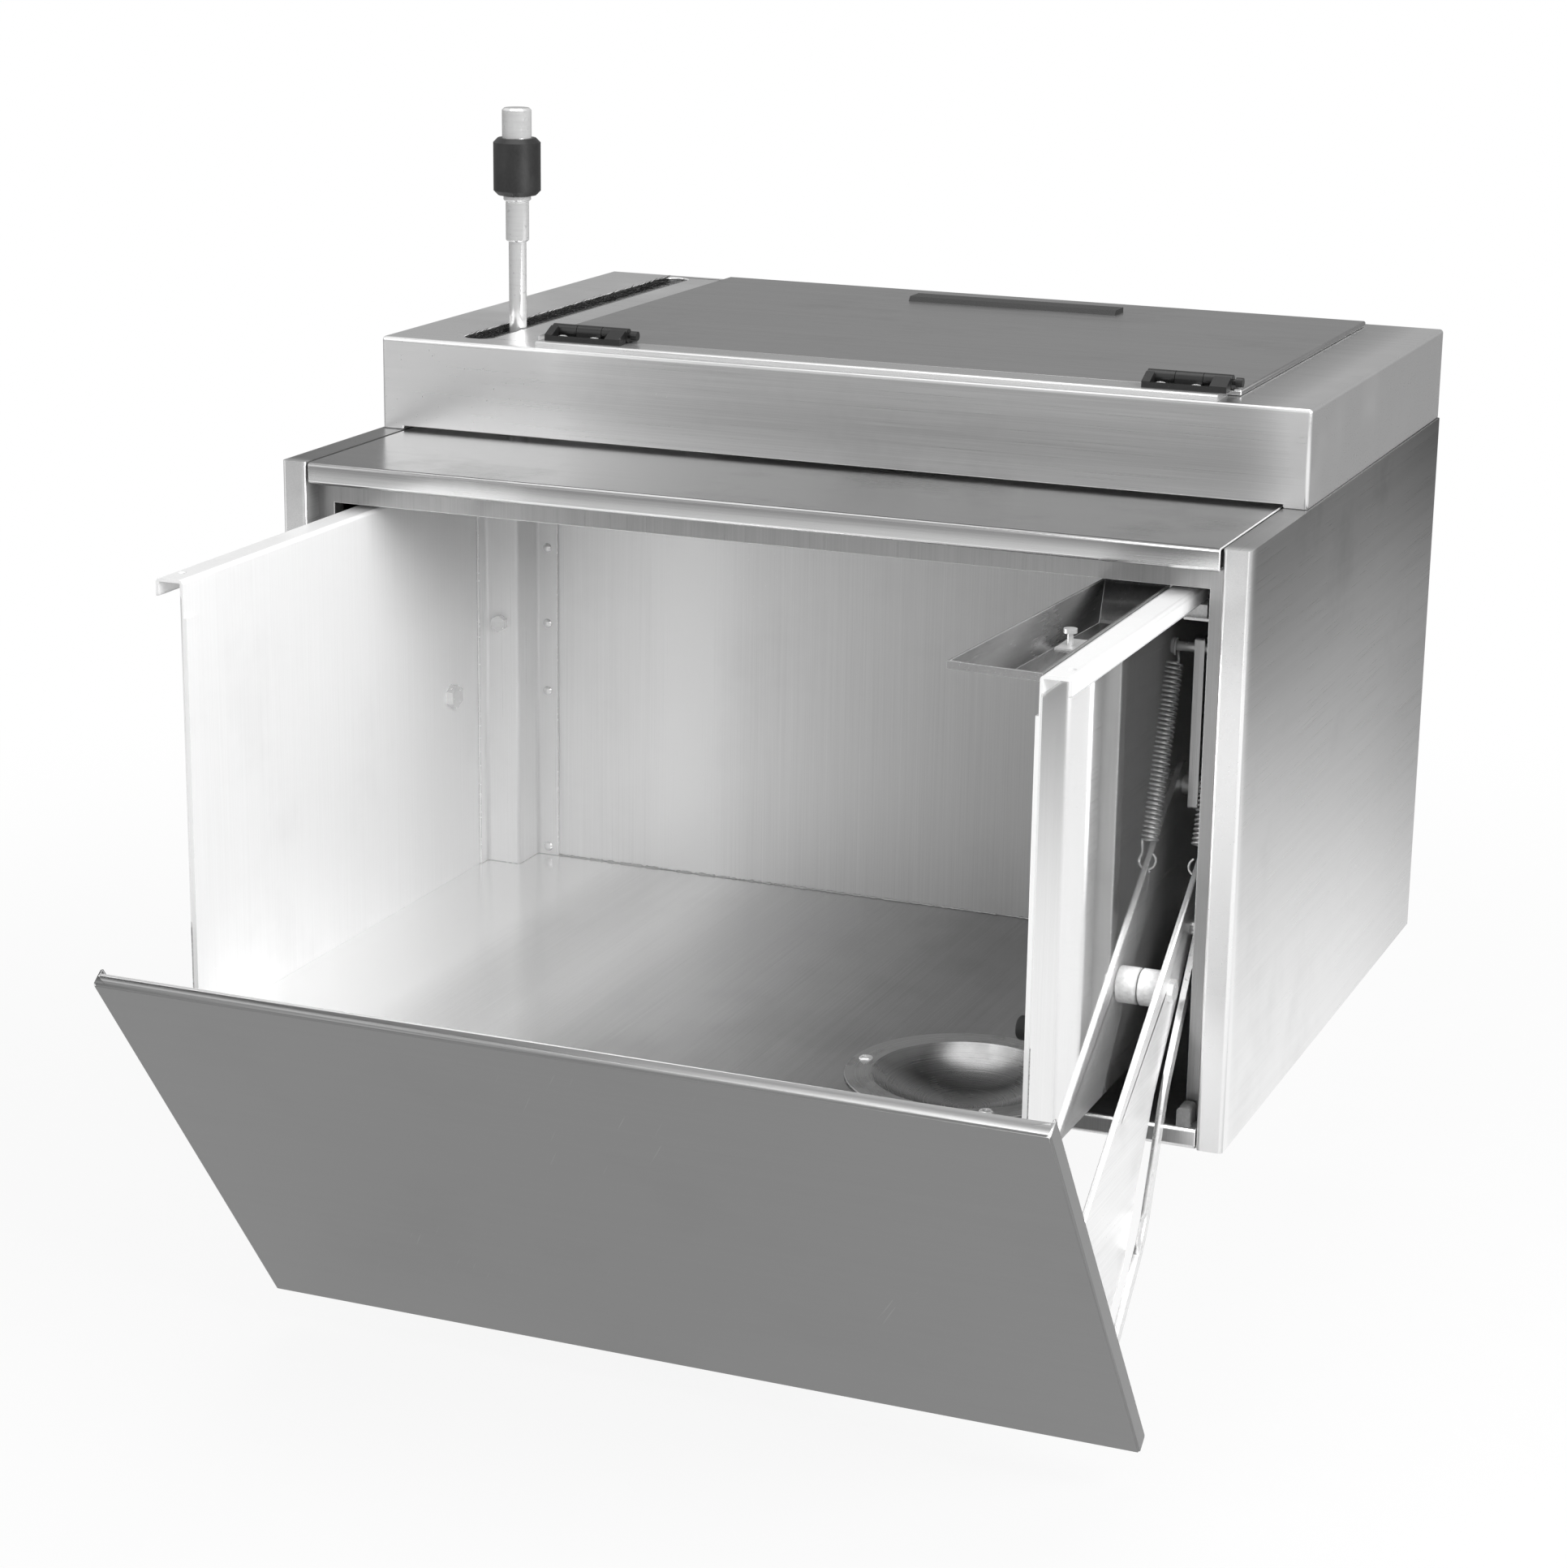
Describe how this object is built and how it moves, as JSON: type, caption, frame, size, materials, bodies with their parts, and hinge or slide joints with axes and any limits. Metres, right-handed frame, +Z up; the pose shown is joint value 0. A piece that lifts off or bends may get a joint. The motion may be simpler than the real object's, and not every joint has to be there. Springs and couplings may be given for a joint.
{
  "type": "bank teller deposit drawer",
  "caption": "Counter drawer of brushed steel: a sliding deep tray with a front door that tips open as it comes out, a spring linkage, a lever in a top slot and a hinged lid.",
  "frame": {"origin": "middle of the pattern of screw holes in the housing's base, on the base's underside", "axes": "+X to the right as the customer sees it, +Y from the customer to the teller, +Z up"},
  "size_m": [0.508, 0.6123, 0.5964],
  "materials": {
    "brushed_steel": "fine linear brushed grain",
    "polished_steel": "turned and polished",
    "spring_steel": "drawn wire",
    "black_metal": "satin black coat",
    "black_plastic": "satin moulded",
    "black_bristle": "matt nylon bristle",
    "black_felt": "matt felt",
    "black_rubber": "matt moulded",
    "white_nylon": "satin turned"
  },
  "bodies": {
    "housing": {"side_panel_left": "brushed_steel", "side_panel_right": "brushed_steel", "base_pan": "brushed_steel", "back_panel": "brushed_steel", "front_ledge": "brushed_steel", "inner_frame": "brushed_steel", "top_cover": "brushed_steel", "slot_brush": "black_bristle", "slot_felt": "black_felt", "slide_channel_left": "brushed_steel", "slide_channel_right": "brushed_steel", "wear_strip_left": "white_nylon", "wear_strip_right": "white_nylon", "guide_block_left": "polished_steel", "guide_block_right": "polished_steel", "hinge_strip": "brushed_steel", "hinge_front_leaves": "black_metal", "hinge_pins": "black_metal", "hinge_front_screws": "polished_steel"},
    "drawer": {"drawer_side_left": "brushed_steel", "drawer_side_right": "brushed_steel", "drawer_floor": "brushed_steel", "drawer_back": "brushed_steel", "corner_post": "brushed_steel", "post_rivets": "polished_steel", "post_bolt": "polished_steel", "coin_cup": "brushed_steel", "coin_cup_screws": "polished_steel", "door_bumper": "black_rubber", "side_tray": "brushed_steel", "tray_clip": "brushed_steel", "tray_stud": "polished_steel", "lever_saddles": "brushed_steel", "lever_rod": "polished_steel", "lever_sleeve": "polished_steel", "lever_grip": "black_plastic", "lever_tip": "polished_steel", "pivot_bolt_left": "polished_steel", "pivot_bolt_right": "polished_steel", "spring_bracket_left": "brushed_steel", "spring_bracket_right": "brushed_steel", "spring_peg_left": "polished_steel", "spring_peg_right": "polished_steel", "door_spring_left": "spring_steel", "door_spring_right": "spring_steel"},
    "door": {"door_front": "brushed_steel", "door_liner": "brushed_steel", "door_arm_left": "brushed_steel", "door_arm_right": "brushed_steel", "cam_bar_left": "polished_steel", "cam_bar_right": "polished_steel", "arm_screws": "polished_steel", "roller_screw_left": "polished_steel", "roller_screw_right": "polished_steel"},
    "lid": {"lid_panel": "brushed_steel", "lid_pull": "black_metal", "hinge_rear_leaves": "black_metal", "hinge_rear_screws": "polished_steel"},
    "roller_left": {"door_roller_left": "white_nylon"},
    "roller_right": {"door_roller_right": "white_nylon"}
  },
  "joints": [
    {"name": "drawer_slide", "type": "slide", "parent": "housing", "child": "drawer", "axis": [0, 1, 0], "range_m": [0, 0.1874]},
    {"name": "door_tilt", "type": "hinge", "parent": "drawer", "child": "door", "pos_m": [0, -0.1012, 0.1536], "axis": [1, 0, 0], "range_deg": [-36.16, 0], "deforming": ["door_spring_left", "door_spring_right"]},
    {"name": "lid_hinge", "type": "hinge", "parent": "housing", "child": "lid", "pos_m": [0, -0.074, 0.3515], "axis": [1, 0, 0], "range_deg": [0, 100]},
    {"name": "roller_left_spin", "type": "hinge", "parent": "door", "child": "roller_left", "pos_m": [-0.2165, -0.20005, 0.07955], "axis": [1, 0, 0], "continuous": true},
    {"name": "roller_right_spin", "type": "hinge", "parent": "door", "child": "roller_right", "pos_m": [0.2165, -0.20005, 0.07955], "axis": [1, 0, 0], "continuous": true}
  ],
  "couplings": [
    {"joint": "door_tilt", "follows": "drawer_slide", "rad_per_m": -3.3659}
  ]
}
